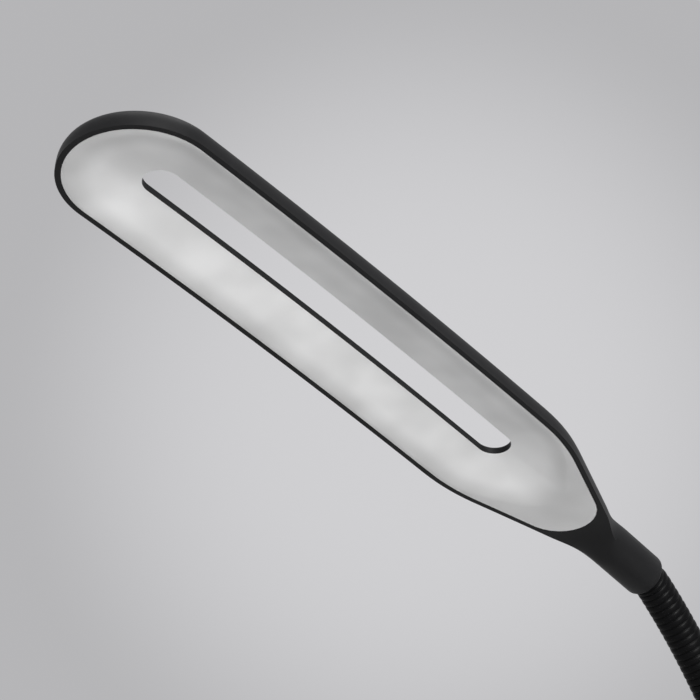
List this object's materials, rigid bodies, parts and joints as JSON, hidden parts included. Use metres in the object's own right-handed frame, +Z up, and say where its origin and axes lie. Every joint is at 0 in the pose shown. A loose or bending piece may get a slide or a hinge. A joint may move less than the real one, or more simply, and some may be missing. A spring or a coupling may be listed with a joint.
{
  "type": "clip-on gooseneck lamp",
  "caption": "Clip-on reading lamp with an arched, slotted LED head on a ribbed gooseneck and a sprung clip with a push button.",
  "frame": {"origin": "centre of the upper pad's gripping face, which rests on the board the clip holds", "axes": "+Z up, away from the board; the head reaches towards -X; the part is symmetric in shape about Y = 0 apart from the pin, spring and circuit"},
  "size_m": [0.3757, 0.0478, 0.3809],
  "materials": {
    "head_black": "satin",
    "opal_diffuser": "satin opal",
    "circuit_board": "matte solder mask",
    "led_yellow": "glossy phosphor",
    "lead_sheath": "matte",
    "plated_steel": "zinc plated",
    "gooseneck_rubber": "satin",
    "black_metal": "satin black",
    "base_black": "fine texture",
    "pad_rubber": "matte",
    "spring_steel": "bare spring wire",
    "button_black": "satin",
    "switch_plastic": "matte",
    "component_black": "matte"
  },
  "bodies": {
    "clip_base": {"base_housing": "base_black", "base_cover": "base_black", "upper_pad": "pad_rubber", "base_ferrule": "black_metal", "ferrule_nut": "plated_steel", "gooseneck_root": "gooseneck_rubber", "driver_board": "circuit_board", "board_components": "component_black", "button_switch": "switch_plastic", "power_inlet": "plated_steel", "base_leads": "lead_sheath", "base_screws": "plated_steel", "hinge_pin": "plated_steel", "pin_ring": "plated_steel", "clip_spring": "spring_steel"},
    "jaw": {"jaw_lever": "base_black", "lower_pad": "pad_rubber"},
    "button": {"push_button": "button_black", "switch_plunger": "switch_plastic"},
    "neck_1": {"gooseneck_1": "gooseneck_rubber"},
    "neck_2": {"gooseneck_2": "gooseneck_rubber"},
    "neck_3": {"gooseneck_3": "gooseneck_rubber"},
    "neck_4": {"gooseneck_4": "gooseneck_rubber"},
    "neck_5": {"gooseneck_5": "gooseneck_rubber"},
    "head": {"gooseneck_tip": "gooseneck_rubber", "neck_ferrule": "plated_steel", "head_housing": "head_black", "head_cover": "head_black", "diffuser": "opal_diffuser", "led_board": "circuit_board", "leds": "led_yellow", "head_leads": "lead_sheath"}
  },
  "joints": [
    {"name": "jaw_hinge", "type": "hinge", "parent": "clip_base", "child": "jaw", "pos_m": [0.027, 0, -0.0034], "axis": [0, -1, 0], "range_deg": [0, 32], "stiffness_Nm_per_rad": 0.6, "springref_deg": -34.38, "deforming": ["clip_spring"]},
    {"name": "button_push", "type": "slide", "parent": "clip_base", "child": "button", "axis": [0, 0, -1], "range_m": [0, 0.0005], "stiffness_N_per_m": 1000, "springref_m": -0.002},
    {"name": "neck_sway_1", "type": "hinge", "parent": "clip_base", "child": "neck_1", "pos_m": [0.03, 0, 0.0497], "axis": [1, 0, 0], "range_deg": [-15, 15]},
    {"name": "neck_tilt_2", "type": "hinge", "parent": "neck_1", "child": "neck_2", "pos_m": [0.03, 0, 0.1071], "axis": [0, 1, 0], "range_deg": [-15, 15]},
    {"name": "neck_sway_3", "type": "hinge", "parent": "neck_2", "child": "neck_3", "pos_m": [0.03, 0, 0.1645], "axis": [1, 0, 0], "range_deg": [-15, 15]},
    {"name": "neck_tilt_4", "type": "hinge", "parent": "neck_3", "child": "neck_4", "pos_m": [0.02665, 0, 0.22167], "axis": [0, 1, 0], "range_deg": [-15, 15]},
    {"name": "neck_sway_5", "type": "hinge", "parent": "neck_4", "child": "neck_5", "pos_m": [0.00486, 0, 0.27442], "axis": [0.8389, 0, 0.5443], "range_deg": [-15, 15]},
    {"name": "neck_tilt_6", "type": "hinge", "parent": "neck_5", "child": "head", "pos_m": [-0.03444, 0, 0.31581], "axis": [0, 1, 0], "range_deg": [-15, 15]}
  ]
}
